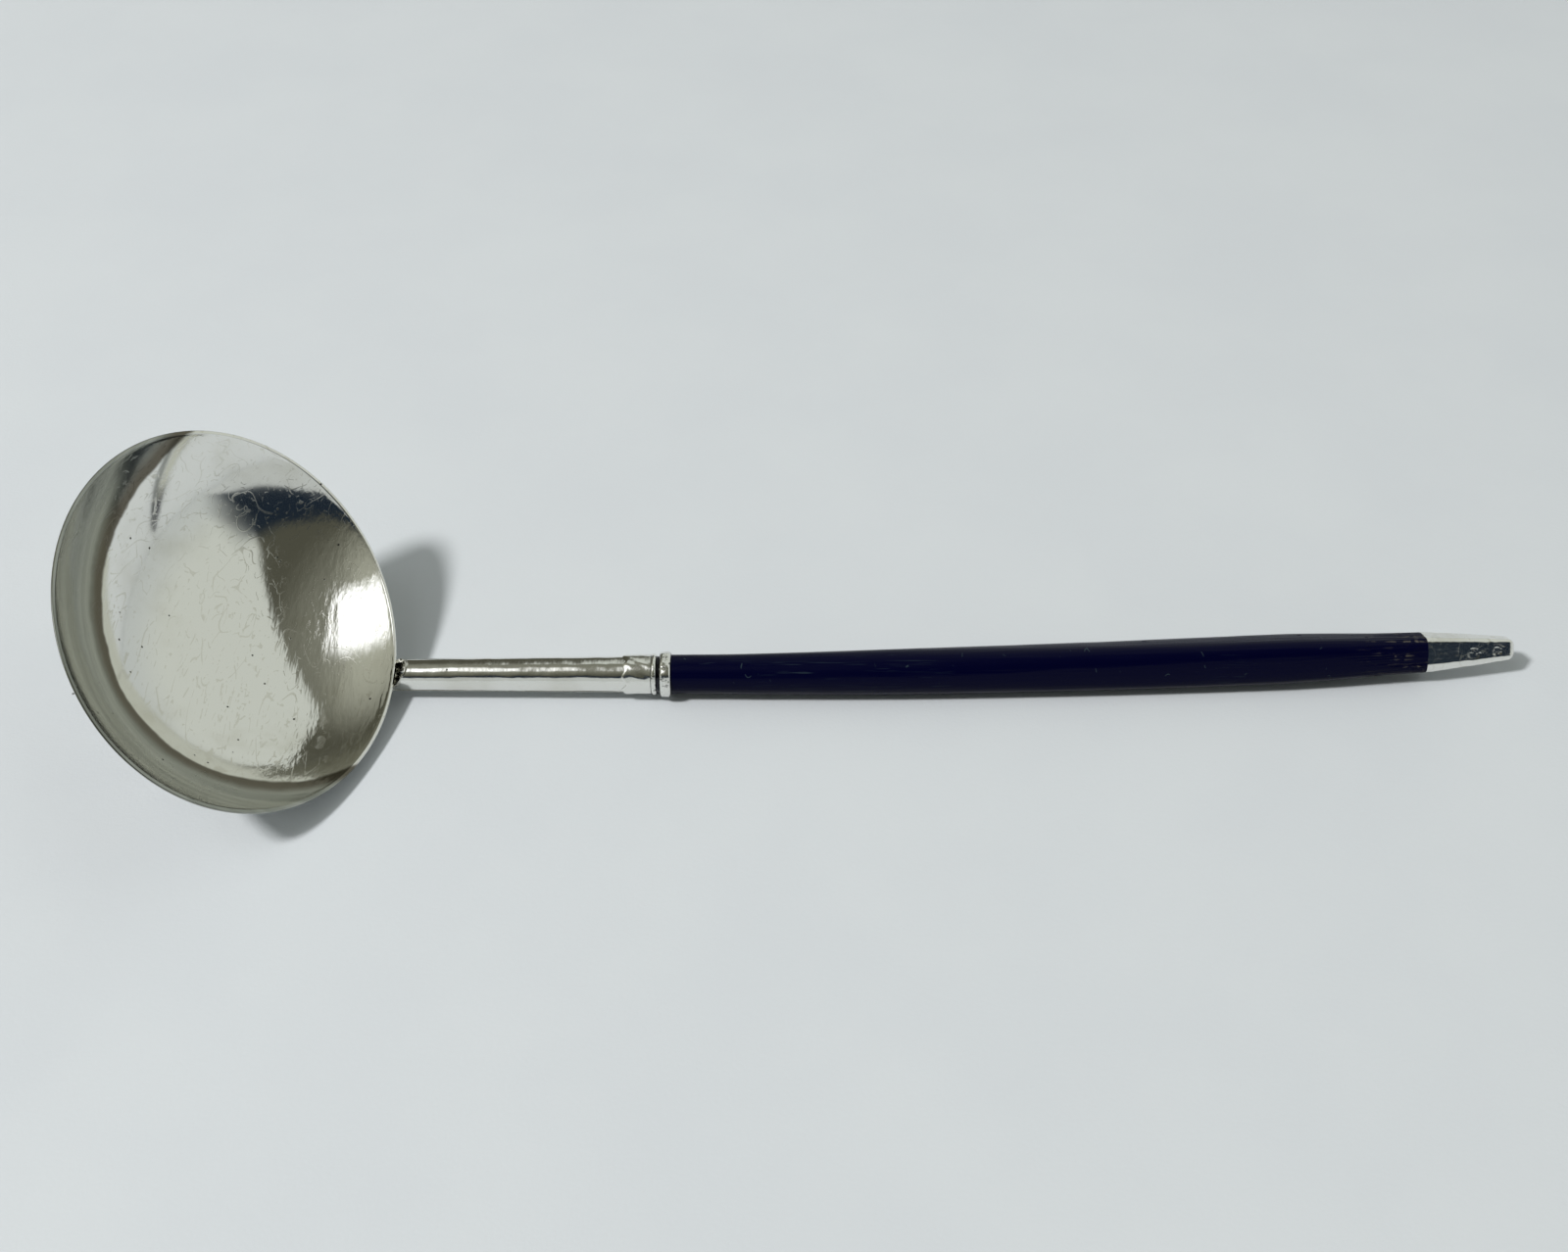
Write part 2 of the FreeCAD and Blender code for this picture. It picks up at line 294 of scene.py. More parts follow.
def bowl_reflection_and_streaks(place):
    """Painted reflection: dark rings on the inside's duller wall away from the stem. Also planishing
    streaks by the stem.
    """
    local = place.node("Mapping", {}, {
        "Vector": place, "Rotation": from_seat.to_euler(), "Location": from_seat.translation})
    flat = local.node("VectorMath", {"operation": "MULTIPLY"}, {
        0: local, 1: (2 / BOWL_LENGTH, 2 / BOWL_WIDTH, 0)})
    out = flat.node("VectorMath", {"operation": "DISTANCE"}, {0: flat, 1: REFLECTION_CENTRE}, out=1)
    along = flat.split(0)
    out = out + (clouds(place, 0.006, 3.0) - 0.5) * 0.05
    # Painted reflection: a mask over the inside wall away from the stem, dark bands in it and a dark line
    # at its inner edge, for the room mirrored there.
    wall = out.step(REFLECTION_START - 0.012, REFLECTION_START + 0.008)
    edge = 1.0 - out.step(REFLECTION_START + 0.03, REFLECTION_START + 0.10)
    ring_place = out.node("CombineXYZ", {}, {"X": out, "Y": along * 0.05})
    reflected_bands = clouds(ring_place, REFLECTED_BAND_PITCH, 3.0).step(0.32, 0.68)
    tone = edge.mix(reflected_bands.mix(REFLECTED_DARK_BAND, REFLECTED_LIGHT_BAND), REFLECTED_DARK_LINE)
    inside = place.node("TexCoord", out="Normal").dot(bowl_seat.to_3x3() @ Vector((0, 0, 1)))
    streaks = clouds(local, STREAK_SIZE, 2.0, stretch=(1, 0.22, 1))
    return wall * inside.step(0.0, 0.1), tone, streaks * along.step(0.1, 0.7) * STREAK_HEIGHT


# The bowl's inside wall carries a painted reflection of the room, besides its wear.
bowl_silver = silver("bowl_silver", gloss=0.05, hammer=0.25, tarnish=0.45, wear_and_reflection=bowl_reflection_and_streaks)
finished("raised_bowl", bowl_mesh, bowl_silver, ["bowl"])

# ---- stem ---------------------------------------------------------------------------------
# A tapered tube rolled from silver sheet, soldered along one side. Its front end is cut to lie
# against the bowl's outside, and its wall is slightly uneven from the mallet.

STEM_FRONT_D = 0.0041
STEM_BACK_D = 0.00475
STEM_WALL = 0.00045
STEM_STATIONS = 110
STEM_TURN_STEPS = 96
SEAM_ANGLE = math.radians(-32)
SEAM_GROOVE = 0.00004
SEAM_SPREAD = 0.00022
STEM_DENT = 0.00003
JOINT_GAP = 0.00002
JOINT_SEARCH = 0.006

collar_low, collar_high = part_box("socket_collar")
stem_line = (collar_low + collar_high) / 2
rim_station = bowl_seat @ Vector((BOWL_LENGTH / 2, 0, 0))
stem_back = collar_high.x


def inside_bowl(point):
    """Whether a point is inside the bowl's outside form or above it, over the rim."""
    seat = from_seat @ point
    seat.y *= BOWL_LENGTH / BOWL_WIDTH
    half = BOWL_LENGTH / 2 + JOINT_GAP
    if seat.z > 0:
        return seat.xy.length < half
    sphere = (half ** 2 + BOWL_DEPTH ** 2) / (2 * BOWL_DEPTH)
    return (seat - Vector((0, 0, sphere - BOWL_DEPTH))).length < sphere


def meets_bowl(radius, angle):
    """Station at which a line along the stem, at a radius and an angle, leaves the bowl."""
    inside = rim_station.x - JOINT_SEARCH
    outside = rim_station.x + JOINT_SEARCH
    for halving in range(24):
        middle = (inside + outside) / 2
        offset = Vector((0, radius * math.cos(angle), radius * math.sin(angle)))
        if inside_bowl(Vector((middle, stem_line.y, stem_line.z)) + offset):
            inside = middle
        else:
            outside = middle
    return outside


def spun_on_stem(profile, steps):
    """Mesh turned about the stem's line from (station, radius) points."""
    mesh = bmesh.new()
    line = [mesh.verts.new((x, stem_line.y, stem_line.z + r)) for x, r in profile]
    edges = [mesh.edges.new(pair) for pair in zip(line, line[1:])]
    bmesh.ops.spin(mesh, geom=line + edges, cent=(0, stem_line.y, stem_line.z), axis=(1, 0, 0),
                   angle=math.tau, steps=steps, use_merge=True)
    return mesh


def polar(vert):
    """Radius and angle of a vertex about the stem's line."""
    return (math.hypot(vert.co.y - stem_line.y, vert.co.z - stem_line.z),
            math.atan2(vert.co.z - stem_line.z, vert.co.y - stem_line.y))


def set_polar(vert, x, radius, angle):
    vert.co = (x, stem_line.y + radius * math.cos(angle), stem_line.z + radius * math.sin(angle))


def stem_radius(x):
    share = (x - rim_station.x) / (stem_back - rim_station.x)
    return 0.5 * (STEM_FRONT_D + (STEM_BACK_D - STEM_FRONT_D) * share)


def spread(count):
    return [step / count for step in range(count + 1)]


def seam_turn(angle):
    """Angle from the seam, which is on the side facing -Y."""
    return abs((angle - (math.pi - SEAM_ANGLE) + math.pi) % math.tau - math.pi)


tube_outer = [(share, 2.0) for share in spread(STEM_STATIONS)]
tube_inner = [(share, 1.0) for share in spread(STEM_STATIONS // 4)][::-1]
tube_mesh = spun_on_stem(tube_outer + tube_inner + tube_outer[:1], STEM_TURN_STEPS)
for vert in tube_mesh.verts:
    layer, angle = polar(vert)
    share = vert.co.x
    start = meets_bowl(0.5 * STEM_FRONT_D, angle) - JOINT_GAP
    x = start + share * (stem_back - start)
    radius = stem_radius(x)
    if layer < 1.5:
        radius -= STEM_WALL
    else:
        spot = Vector((x / 0.0035, math.cos(angle) * 1.1, math.sin(angle) * 1.1))
        radius += STEM_DENT * (noise.noise(spot) + 0.5 * noise.noise(spot * 2.7)) - STEM_DENT
        near_seam = max(0.0, 1 - seam_turn(angle) * radius / SEAM_SPREAD)
        radius -= SEAM_GROOVE * near_seam
    set_polar(vert, x, radius, angle)
stem_silver = silver("stem_silver", gloss=0.07, hammer=1.3, hammer_size=0.0007, tarnish=0.45,
                     scratched=0.3)
finished("rolled_stem", tube_mesh, stem_silver, ["stem_tube"], sharp=50)

# ---- solder ---------------------------------------------------------------------------------
# Silver solder: a thin fillet round the stem's front end with two beads that ran out of the
# joint, and the thin line that closes the stem's seam. The silver cross pin's end is as dull.

SOLDER_REACH = 0.0008
SOLDER_SPREAD = 0.00006
SOLDER_STEPS = 10
BEADS = ((-2.35, 0.00050), (-2.0, 0.00036))
SOLDER_TONE = (0.62, 0.61, 0.56)
SOLDER_DARK = (0.42, 0.41, 0.36)


def solder_finish():
    made, shader, place = new_material("solder_grey")
    lumps = clouds(place, 0.0006, 3.0)
    dirt = clouds(place, 0.0011, 3.0, shift=(0.4, 0.4, 0.1)).step(0.52, 0.72)
    feed(shader, "Base Color", dirt.mix(SOLDER_TONE, SOLDER_DARK))
    feed(shader, "Roughness", 0.14 + dirt * 0.25 + lumps * 0.1)
    emboss(shader, lumps, 0.15, 0.00004)
    shader.inputs["Metallic"].default_value = 1.0
    return made


def dressed(node, material):
    """Gives a CAD node that keeps its own shape its finish."""
    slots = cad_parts[node].data.materials
    slots.clear()
    slots.append(material)


fillet_outer = [(share, 2.0) for share in spread(SOLDER_STEPS)]
fillet_inner = [(share, 1.0) for share in spread(SOLDER_STEPS)][::-1]
solder_mesh = spun_on_stem(fillet_outer + fillet_inner + fillet_outer[:1], STEM_TURN_STEPS)
for vert in solder_mesh.verts:
    layer, angle = polar(vert)
    share = vert.co.x
    ragged = 1 + 0.35 * noise.noise(Vector((math.cos(angle), math.sin(angle), share)) * 2.2)
    start = meets_bowl(0.5 * STEM_FRONT_D, angle)
    x = start + share * SOLDER_REACH * ragged
    radius = stem_radius(x) - JOINT_GAP * 2
    if layer > 1.5:
        radius += SOLDER_SPREAD * (1 - share) ** 2.2 * ragged
        x = max(x, meets_bowl(radius, angle) + JOINT_GAP)
    set_polar(vert, x, radius, angle)
for angle, size in BEADS:
    spot = Vector((meets_bowl(0.5 * STEM_FRONT_D, angle) + size * 0.6,
                   stem_line.y + (0.5 * STEM_FRONT_D + size * 0.1) * math.cos(angle),
                   stem_line.z + (0.5 * STEM_FRONT_D + size * 0.1) * math.sin(angle)))
    bmesh.ops.create_icosphere(solder_mesh, subdivisions=3, radius=size,
                               matrix=Matrix.Translation(spot) @ Matrix.Diagonal((1.2, 0.9, 0.8, 1)))
solder_grey = solder_finish()
finished("solder_fillet", solder_mesh, solder_grey, ["bowl_solder"])
dressed("stem_seam", solder_grey)
dressed("socket_pin", solder_grey)

# ---- collar -----------------------------------------------------------------------------------
# A thin sleeve of silver over the stem's back end. Its front edge is worn and torn, so that it
# stands up in places and is rubbed away in others.

COLLAR_STATIONS = 26
COLLAR_STEPS = 128
COLLAR_TEAR = 0.00055
COLLAR_EDGE = 0.00012
collar_r = (collar_high.z - collar_low.z) / 2
collar_length = collar_high.x - collar_low.x

sleeve_outer = [(share, 2.0) for share in spread(COLLAR_STATIONS)]
sleeve_mesh = spun_on_stem(sleeve_outer + [(1.0, 1.0), (0.0, 1.0), (0.0, 2.0)], COLLAR_STEPS)
for vert in sleeve_mesh.verts:
    layer, angle = polar(vert)
    share = vert.co.x
    ring_spot = Vector((math.cos(angle), math.sin(angle), 0.3)) * 2.6
    torn = 0.5 + noise.noise(ring_spot)
    start = collar_low.x + COLLAR_TEAR * max(0.0, torn)
    x = start + share * (collar_high.x - start)
    radius = stem_radius(x) + JOINT_GAP * 0.5
    if layer > 1.5:
        worn = 0.5 + 0.5 * noise.noise(ring_spot * 1.3 + Vector((x / 0.0012, 0, 4)))
        edge = 1 - math.exp(-share * collar_length / COLLAR_EDGE) * (1 - 0.6 * max(0.0, torn))
        radius = radius + (collar_r - radius) * (0.55 + 0.45 * worn) * (0.35 + 0.65 * edge)
    set_polar(vert, x, radius, angle)
collar_silver = silver("collar_silver", gloss=0.10, hammer=1.4, hammer_size=0.0006, tarnish=0.7,
                       scratched=0.4)
finished("worn_collar", sleeve_mesh, collar_silver, ["socket_collar"], sharp=50)

# ---- bead and ring ----------------------------------------------------------------------------
# Two turned silver rings at the handle's shoulder: a narrow bead with a dark groove behind it,
# then a wider ring with rubbed, rounded edges and small dents.

BEAD_LENGTH = 0.00075
GROOVE_DEPTH = 0.00035
RING_STEPS = 128
ROUND_STEPS = 8
RING_DENT = 0.00007
BEAD_ROUNDING = 0.45
RING_ROUNDING = 0.28
# Near-black colour painted into the creases at the rings' edges, over this width.
CREASE_WIDTH = 0.00008
CREASE_DARK = (0.03, 0.03, 0.035)

bead_low, bead_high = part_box("front_bead")
ring_low, ring_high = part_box("rear_ring")
bead_r = (bead_high.z - bead_low.z) / 2
ring_r = (ring_high.z - ring_low.z) / 2
bore_r = 0.5 * STEM_BACK_D - STEM_WALL


def rounded_band(start, end, radius, edge):
    """Profile of a band whose two outer edges are rounded, from its front bottom to its back."""
    points = []
    for share in spread(ROUND_STEPS):
        turn = 0.5 * math.pi * share
        points.append((start + edge * (1 - math.cos(turn)), radius - edge * (1 - math.sin(turn))))
    for share in spread(ROUND_STEPS):
        turn = 0.5 * math.pi * share
        points.append((end - edge * (1 - math.sin(turn)), radius - edge * (1 - math.cos(turn))))
    return points


def dented(mesh, least_radius, depth):
    """Small rubbed dents on the outer faces of a ring."""
    for vert in mesh.verts:
        radius, angle = polar(vert)
        if radius > least_radius:
            spot = Vector((vert.co.x / 0.0009, math.cos(angle) * 3.2, math.sin(angle) * 3.2))
            set_polar(vert, vert.co.x, radius - depth * abs(noise.noise(spot)) * 2, angle)


def crease_darkening(place):
    """Near-black colour in the creases before, between and behind the two rings, with dark specks."""
    station = place.split(0)
    front = 1.0 - station.step(bead_low.x + CREASE_WIDTH * 0.5, bead_low.x + CREASE_WIDTH)
    past_groove = station.step(ring_low.x + CREASE_WIDTH, ring_low.x + CREASE_WIDTH * 2)
    middle = station.step(bead_end - CREASE_WIDTH, bead_end) * (1.0 - past_groove)
    back = station.step(ring_high.x - CREASE_WIDTH * 1.5, ring_high.x - CREASE_WIDTH * 0.5)
    specks = clouds(place, 0.0005, 3.0).step(0.56, 0.68) * 0.75
    return (front + middle + back + specks).least(1.0), CREASE_DARK, specks * -2.0


bead_end = bead_low.x + BEAD_LENGTH
groove_r = bead_r - GROOVE_DEPTH
ring_silver = silver("ring_silver", gloss=0.10, hammer=2.2, hammer_size=0.0005, scratched=0.4,
                     wear_and_reflection=crease_darkening)
bead_profile = [(bead_low.x, bore_r)]
bead_profile += rounded_band(bead_low.x, bead_end, bead_r, BEAD_ROUNDING * BEAD_LENGTH)
bead_profile += [(bead_end, groove_r), (bead_high.x, groove_r), (bead_high.x, bore_r)]
bead_profile += bead_profile[:1]
bead_mesh = spun_on_stem(bead_profile, RING_STEPS)
dented(bead_mesh, groove_r * 1.02, RING_DENT * 0.5)
finished("turned_bead", bead_mesh, ring_silver, ["front_bead"], sharp=40)

ring_rounding = RING_ROUNDING * (ring_high.x - ring_low.x)
ring_profile = [(ring_low.x, bore_r)]
ring_profile += rounded_band(ring_low.x, ring_high.x, ring_r, ring_rounding)
ring_profile += [(ring_high.x, bore_r), (ring_low.x, bore_r)]
ring_mesh = spun_on_stem(ring_profile, RING_STEPS)
dented(ring_mesh, ring_r * 0.9, RING_DENT)
finished("turned_ring", ring_mesh, ring_silver, ["rear_ring"], sharp=40)

# ---- handle -----------------------------------------------------------------------------------
# One length of near-black baleen, round at the rings and shaved to a soft square towards the
# cap. Its fibres run lengthwise, show as fine grooves and lift in small slivers near the cap.

HANDLE_FRONT_D = 0.0051
HANDLE_BELLY_D = 0.00595
HANDLE_BACK_D = 0.00485
BELLY_START = 0.36
BELLY_END = 0.80
FRONT_SQUARENESS = 2.0
BACK_SQUARENESS = 3.4
SQUARING_START = 0.2
SQUARING_END = 0.9
FACET_TURN = math.radians(-24.0)
HANDLE_SWEEP = 0.0039
HANDLE_RISE = 0.0007
BEND_START = 0.10
HANDLE_STATIONS = 420
HANDLE_TURN_STEPS = 144
HANDLE_INSET = 0.00002
FIBRE_DEPTH = 0.000018
SHAVE_DEPTH = 0.00003
FRAYING = 2.2
FRAYING_START = 0.86
FRAYING_FADE = 0.1
SLIVER_COUNT = 26
SLIVER_ROOT = 0.000035
SLIVER_TIP = 0.000006
SLIVER_TURN_R = 0.0027
SLIVER_SUNK = 0.00003
SLIVER_LIFT = 0.00009
HORN = (0.0003, 0.0005, 0.0125)
HORN_FIBRE = (0.030, 0.048, 0.056)
HORN_DUST = (0.11, 0.10, 0.08)

cap_low, cap_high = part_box("end_cap")
shoulder = ring_high.x
body_end = cap_low.x
handle_length = body_end - shoulder


def eased(share):
    """Rises smoothly from 0 to 1."""
    share = min(1.0, max(0.0, share))
    return share * share * (3 - 2 * share)


def spine(x):
    """Centre line of the handle and the cap: straight by the rings, then a gentle bend."""
    bend_from = shoulder + BEND_START * handle_length
    share = max(0.0, (x - bend_from) / (cap_high.x - bend_from))
    return Vector((x, stem_line.y + HANDLE_SWEEP * share ** 1.5, stem_line.z + HANDLE_RISE * share ** 2))


def handle_diameter(share):
    if share < BELLY_END:
        return HANDLE_FRONT_D + (HANDLE_BELLY_D - HANDLE_FRONT_D) * eased(share / BELLY_START)
    narrowing = eased((share - BELLY_END) / (1 - BELLY_END))
    return HANDLE_BELLY_D + (HANDLE_BACK_D - HANDLE_BELLY_D) * narrowing


def handle_power(share):
    """Power of the handle's section at a share of its length: 2 is round, more is squarer."""
    squared = eased((share - SQUARING_START) / (SQUARING_END - SQUARING_START))
    return FRONT_SQUARENESS + (BACK_SQUARENESS - FRONT_SQUARENESS) * squared


def set_squared(vert, x, radius, angle, power, shaved=()):
    """Puts a vertex on a soft square section across the centre line at station x. The section is
    shaved flat on the sides that face the given angles, at their shares of the radius."""
    ahead = spine(x + 0.001) - spine(x - 0.001)
    across = Vector((1, 0, 0)).rotation_difference(ahead).to_matrix()
    fullness = abs(math.cos(angle)) ** power + abs(math.sin(angle)) ** power
    reach = radius / fullness ** (1 / power)
    for side, share in shaved:
        if math.cos(angle - side) > 0.3:
            reach = min(reach, radius * share / math.cos(angle - side))
    toward = angle + FACET_TURN
    vert.co = spine(x) + across @ Vector((0, reach * math.cos(toward), reach * math.sin(toward)))


handle_profile = [(0.0, 0.0), (0.0, 0.5)] + [(share, 1.0) for share in spread(HANDLE_STATIONS)]
handle_profile += [(1.0, 0.5), (1.0, 0.0)]
handle_mesh = spun_on_stem(handle_profile, HANDLE_TURN_STEPS)
for vert in handle_mesh.verts:
    layer, angle = polar(vert)
    share = vert.co.x
    x = shoulder + share * handle_length
    radius = 0.5 * handle_diameter(share) - HANDLE_INSET
    turn = Vector((math.cos(angle), math.sin(angle), 0))
    fibre = noise.noise(Vector((x / 0.011, turn.x * 14, turn.y * 14)))
    shave = noise.noise(Vector((x / 0.006, turn.x * 1.6, turn.y * 1.6 + 5)))
    frayed = 1 + FRAYING * eased((share - FRAYING_START) / FRAYING_FADE)
    radius -= FIBRE_DEPTH * frayed * abs(fibre) * 2 + SHAVE_DEPTH * max(0.0, shave)
    set_squared(vert, x, radius * layer, angle, handle_power(share))

for sliver in range(SLIVER_COUNT):
    chance = noise.cell_vector(Vector((sliver * 1.7 + 0.5, 2.5, 7.5)))
    share = 0.995 - 0.07 * chance.x ** 2 if sliver % 4 else 0.25 + 0.65 * chance.x
    x = shoulder + share * handle_length
    angle = math.tau * chance.y
    length = 0.0006 + 0.0014 * chance.z
    splinter = bmesh.ops.create_cone(handle_mesh, cap_ends=True, segments=5, radius1=SLIVER_ROOT,
                                     radius2=SLIVER_TIP, depth=1.0)
    for vert in splinter["verts"]:
        along = vert.co.z + 0.5
        side = angle + vert.co.x / SLIVER_TURN_R
        lift = 0.5 * handle_diameter(share) - SLIVER_SUNK + SLIVER_LIFT * along ** 2 + vert.co.y
        station = min(x - length * (1 - along), body_end - JOINT_GAP)
        set_squared(vert, station, lift, side, handle_power(share))

horn, shader, place = new_material("dark_horn")
long_fibres = clouds(place, 0.00042, 3.0, stretch=(0.035, 1, 1))
fine_fibres = clouds(place, 0.00016, 2.0, stretch=(0.02, 1, 1), shift=(3, 1, 2))
worn_patch = clouds(place, 0.010, 3.0, stretch=(0.6, 1, 1), shift=(0.2, 0.9, 0.4)).step(0.48, 0.72)
end_wear = place.split(0).step(body_end - 0.011, body_end - 0.001)
scuffs = hairlines(place, 0.0030, 0.010, (0.5, 0.3, 1.2), 0.66)
scuffs = scuffs + clouds(place, 0.00030, 1.0, stretch=(0.06, 1, 1)).step(0.68, 0.74) * worn_patch
flecks = pits(place, 0.0034, 0.035, 0.80)
pale_fibre = fine_fibres.step(0.60, 0.74) * worn_patch
frays = long_fibres.step(0.53, 0.66) * end_wear * clouds(place, 0.0012, 2.0).step(0.48, 0.60)
tone = (pale_fibre * 0.55 + scuffs * 0.6).least(1.0).mix(HORN, HORN_FIBRE)
tone = (frays * 0.7).most(flecks * 0.8).mix(tone, HORN_DUST)
feed(shader, "Base Color", tone)
feed(shader, "Roughness", 0.20 + long_fibres * 0.10 + worn_patch * 0.10 + scuffs * 0.2 + end_wear * 0.12)
emboss(shader, long_fibres * 0.9 + fine_fibres * 0.5 - scuffs * 0.4 + frays * 0.5, 0.35, 0.00003)
shader.inputs["Specular IOR Level"].default_value = 0.08
finished("baleen_handle", handle_mesh, horn, ["handle"], sharp=40)

# ---- end cap ----------------------------------------------------------------------------------
# A closed silver cap, squared like the handle's end and rounded at its tip, cemented over the
# handle's spigot. It is rubbed and dented, with two plain shallow punch marks on one side.

CAP_TIP_D = 0.0027
CAP_WALL = 0.0004
CAP_END_WALL = 0.0012
CAP_TAPER = 1.15
CAP_TIP_ROUND = 0.0009
CAP_STATIONS = 90
CAP_BORE_STATIONS = 20
CAP_TURN_STEPS = 144
CAP_DENT = 0.000025
CAP_SIDES = ((math.radians(-2), 0.955), (math.radians(86), 0.955), (math.radians(169), 0.90),
             (math.radians(266), 0.955))
# share of the cap's length, angle about its line, radius
PUNCH_MARKS = ((0.52, 2.66, 0.00100), (0.79, 2.64, 0.00080))
PUNCH_DEPTH = 0.00004

cap_length = cap_high.x - cap_low.x


def cap_radius(share, wall):
    """Half the cap's thickness at a share of its length, rounded in at the tip."""
    radius = 0.5 * (HANDLE_BACK_D + (CAP_TIP_D - HANDLE_BACK_D) * share ** CAP_TAPER) - wall
    from_tip = (1 - share) * cap_length
    if wall == 0 and from_tip < CAP_TIP_ROUND:
        radius -= CAP_TIP_ROUND * (1 - math.sqrt(1 - (1 - from_tip / CAP_TIP_ROUND) ** 2))
    return radius


cap_outer = [(share ** 0.8, 2.0) for share in spread(CAP_STATIONS)]
cap_bore = 1 - CAP_END_WALL / cap_length
cap_inner = [(share * cap_bore, 1.0) for share in spread(CAP_BORE_STATIONS)][::-1]
cap_profile = [(cap_inner[0][0], 0.0)] + cap_inner + cap_outer + [(1.0, 0.0)]
cap_mesh = spun_on_stem(cap_profile, CAP_TURN_STEPS)
for vert in cap_mesh.verts:
    layer, angle = polar(vert)
    share = vert.co.x
    x = cap_low.x + share * cap_length
    radius = cap_radius(share, 0 if layer > 1.5 else CAP_WALL)
    if layer < 0.5:
        radius = 0.0
    if layer > 1.5:
        turn = Vector((math.cos(angle), math.sin(angle), 0))
        radius -= CAP_DENT * abs(noise.noise(Vector((x / 0.0012, turn.x * 2.6, turn.y * 2.6)))) * 2
        for mark_share, mark_angle, size in PUNCH_MARKS:
            around = ((angle + FACET_TURN - mark_angle + math.pi) % math.tau - math.pi) * radius
            away = math.hypot(around, (share - mark_share) * cap_length) / size
            rough = 1 + 0.5 * noise.noise(turn * 9 + Vector((x / 0.0003, 0, 0)))
            radius -= PUNCH_DEPTH * (1 - eased((away - 0.55) / 0.45)) * rough
    set_squared(vert, x, radius, angle, BACK_SQUARENESS, CAP_SIDES if layer > 1.5 else ())
cap_silver = silver("cap_silver", gloss=0.10, hammer=1.3, hammer_size=0.0007, tarnish=0.9,
                    scratched=0.8)
finished("silver_cap", cap_mesh, cap_silver, ["end_cap"], sharp=50)

# ---- cement -----------------------------------------------------------------------------------
# Dark brown resin that holds the handle's tenon in the stem and its spigot in the cap.

CEMENT = (0.10, 0.055, 0.03)
CEMENT_PALE = (0.20, 0.12, 0.07)

cement, shader, place = new_material("brown_resin")
crumbs = clouds(place, 0.0003, 3.0)
feed(shader, "Base Color", crumbs.step(0.35, 0.7).mix(CEMENT, CEMENT_PALE))
feed(shader, "Roughness", 0.45 + crumbs * 0.3)
emboss(shader, crumbs, 0.4, 0.0001)
dressed("socket_cement", cement)
dressed("cap_cement", cement)

# ---- table ------------------------------------------------------------------------------------
# The plain sheet of white paper that the ladle lies on, with a faint tooth and a few specks.

TABLE_SIZE = 1.6
PAPER = (0.545, 0.575, 0.610)
PAPER_SOFT = (0.560, 0.590, 0.622)
SPECK = (0.10, 0.10, 0.10)

table_mesh = bmesh.new()
bmesh.ops.create_grid(table_mesh, x_segments=8, y_segments=8, size=TABLE_SIZE / 2)
table_data = bpy.data.meshes.new("table_paper")
table_mesh.to_mesh(table_data)
table_mesh.free()
table = bpy.data.objects.new("table_paper", table_data)
bpy.context.collection.objects.link(table)
paper, shader, place = new_material("white_paper")
mottled = clouds(place, 0.03, 4.0).step(0.3, 0.7).mix(PAPER, PAPER_SOFT)
tooth = clouds(place, 0.0005, 3.0)
feed(shader, "Base Color", pits(place, 0.016, 0.016, 0.80).mix(mottled, SPECK))
emboss(shader, tooth, 0.25, 0.0001)
shader.inputs["Roughness"].default_value = 0.7
table_data.materials.append(paper)

# ---- light ------------------------------------------------------------------------------------
# One soft lamp on the left for the shadow, which the silver doesn't mirror. The rest is an even
# studio: pale walls on the handle's side and low in front, a dim warm wall with a bright window
# on the bowl's side, and a dark gap between the pale parts in front.

LAMP_PLACE = (-1.12, -0.55, 1.48)
LAMP_SIZE = 0.26
LAMP_POWER = 34.4
LAMP_COLOUR = (1.0, 0.985, 0.96)
PALE_SIDE = (0.80, 0.58, -0.18)
PALE_END = (0.989, 0.007, 0.142)
PALE_LOW = (0.53, 0.565, 0.56)
PALE_HIGH = (0.60, 0.63, 0.59)
DIM_SIDE = (-0.42, -0.10, 0.90)
DIM = (0.08, 0.08, 0.06)
DIM_LIT = (0.42, 0.43, 0.36)
GAP_SIDE = (0.10, -0.99, 0.0)
GAP = (0.012, 0.02, 0.032)
FRONT_LEDGE = (-0.209, -0.368, -1.0)
LEDGE = (0.53, 0.56, 0.555)
WINDOW = (2.0, 2.04, 2.08)
EDGE_BLUR = 0.01

lamp = bpy.data.lights.new("window_lamp", "AREA")
lamp.shape = "DISK"
lamp.size = LAMP_SIZE
lamp.energy = LAMP_POWER
lamp.color = LAMP_COLOUR
lamp_object = bpy.data.objects.new("window_lamp", lamp)
lamp_object.location = LAMP_PLACE
lamp_object.visible_glossy = False
lamp_object.rotation_euler = (-Vector(LAMP_PLACE)).to_track_quat("-Z", "Y").to_euler()
bpy.context.collection.objects.link(lamp_object)

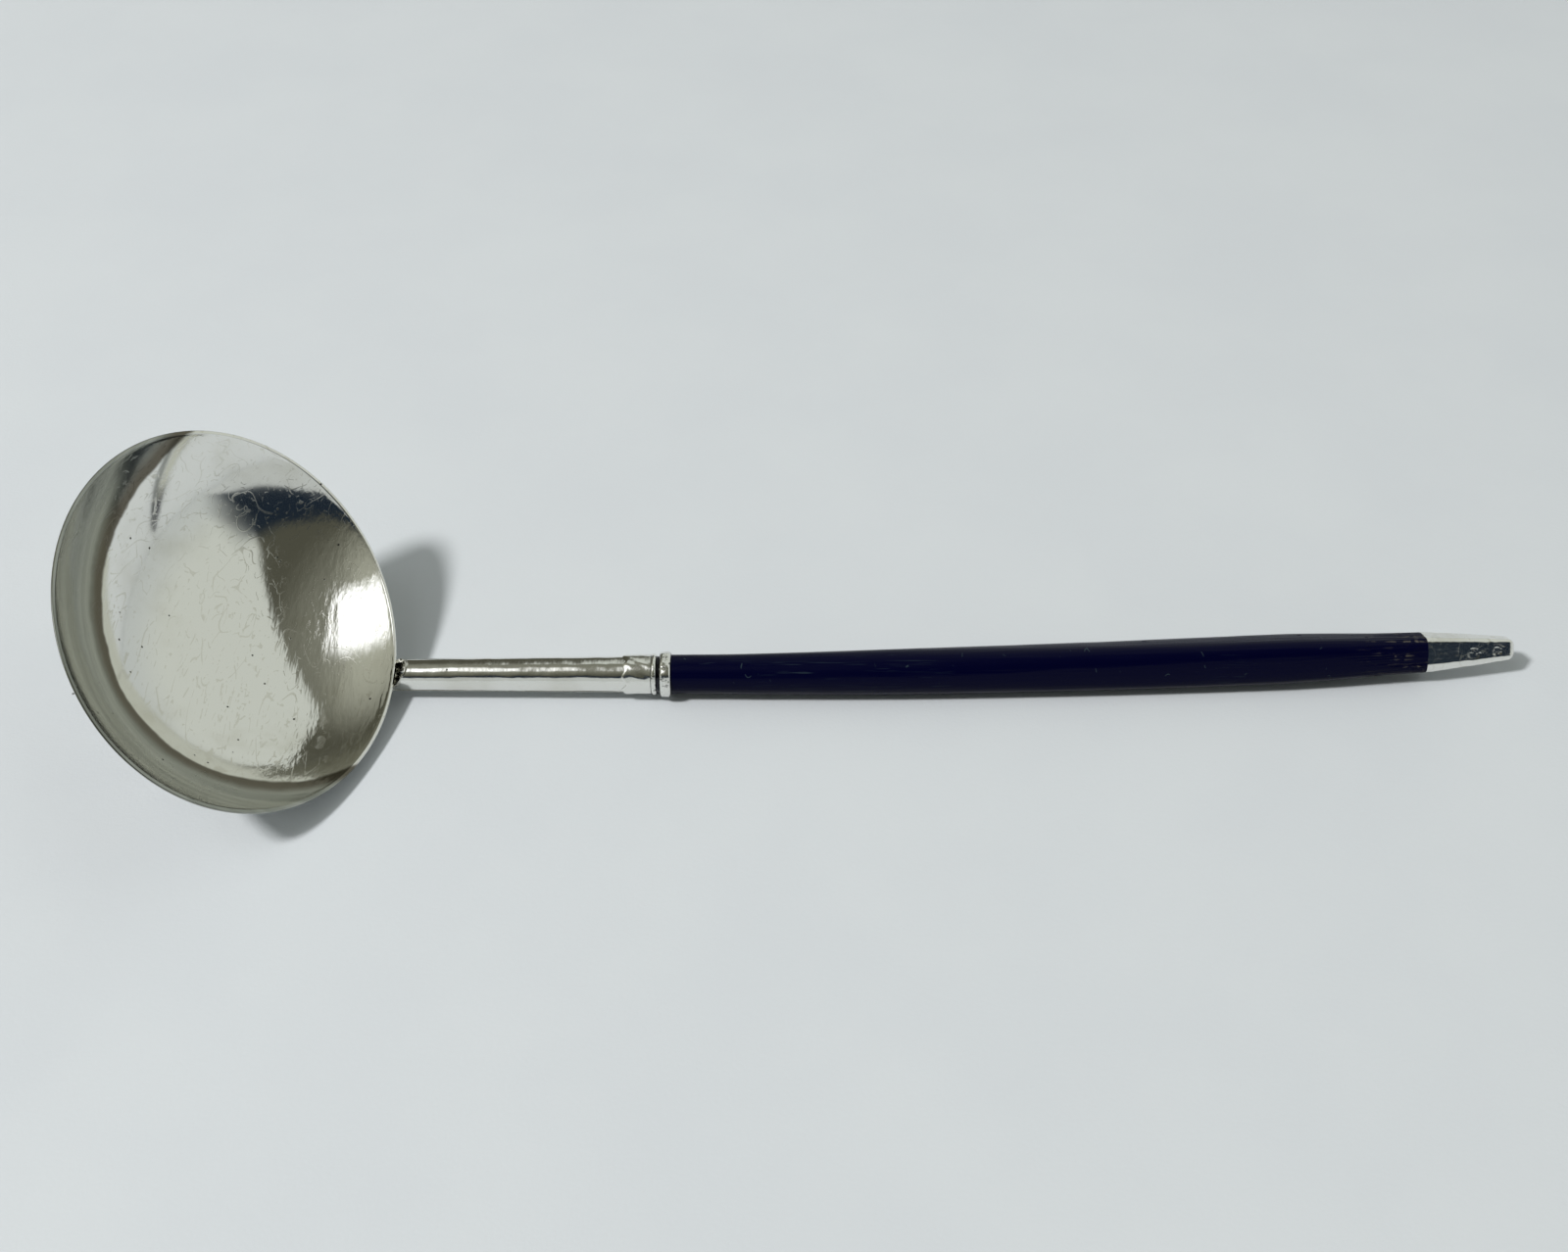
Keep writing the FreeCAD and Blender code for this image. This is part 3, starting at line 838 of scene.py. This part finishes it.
studio = bpy.data.worlds.new("studio")
bpy.context.scene.world = studio
studio.use_nodes = True
tree = studio.node_tree
toward = Wire(tree, tree.nodes.new("ShaderNodeTexCoord").outputs["Generated"])


def beyond(side, blur):
    """1 on the side of the studio that a direction points to, 0 on the other."""
    return toward.dot(Vector(side).normalized()).step(-blur, blur)


left = toward.split(0)
front = toward.split(1)
height = toward.split(2)
walls = height.step(0.0, 0.4).mix(PALE_LOW, PALE_HIGH)
lit = toward.dot(Vector(DIM_SIDE).normalized()).step(0.62, 1.0)
dim = (lit * (1.0 - left.step(-0.45, -0.05) * 0.60)).mix(DIM, DIM_LIT)
room = (beyond(PALE_SIDE, EDGE_BLUR * 3) * beyond(PALE_END, EDGE_BLUR * 3)).mix(dim, walls)
gap = toward.dot(Vector(GAP_SIDE).normalized()).step(0.52, 0.76) * (1.0 - height.step(0.48, 0.60))
room = beyond(FRONT_LEDGE, EDGE_BLUR).mix(gap.mix(room, GAP), LEDGE)
window = (1.0 - left.step(-0.24, -0.08)) * left.step(-0.74, -0.52) * height.step(0.3, 0.5)
window = window * front.step(-0.46, -0.30) * (1.0 - front.step(-0.10, 0.10))
room = window.mix(room, WINDOW)
tree.links.new(room.socket, tree.nodes["Background"].inputs["Color"])

# ---- camera -----------------------------------------------------------------------------------
# A hand-held view from the front and above, with the whole ladle across the picture.

IMAGE_WIDTH = 1600
FOCAL = 2099
SENSOR = 36.0
TILT = math.radians(47.3)
TURN = math.radians(0.12)
LOOK_AT = Vector((-0.00472, 0.01649, 0))
DISTANCE = 0.275

camera_data = bpy.data.cameras.new("camera")
camera_data.sensor_width = SENSOR
camera_data.lens = SENSOR * FOCAL / IMAGE_WIDTH
camera_data.clip_start = 0.01
camera = bpy.data.objects.new("camera", camera_data)
camera.location = LOOK_AT + DISTANCE * Vector((0, -math.sin(TILT), math.cos(TILT)))
camera.rotation_euler = (Matrix.Rotation(TILT, 4, "X") @ Matrix.Rotation(-TURN, 4, "Z")).to_euler()
bpy.context.collection.objects.link(camera)
bpy.context.scene.camera = camera
bpy.context.scene.view_settings.view_transform = "Standard"
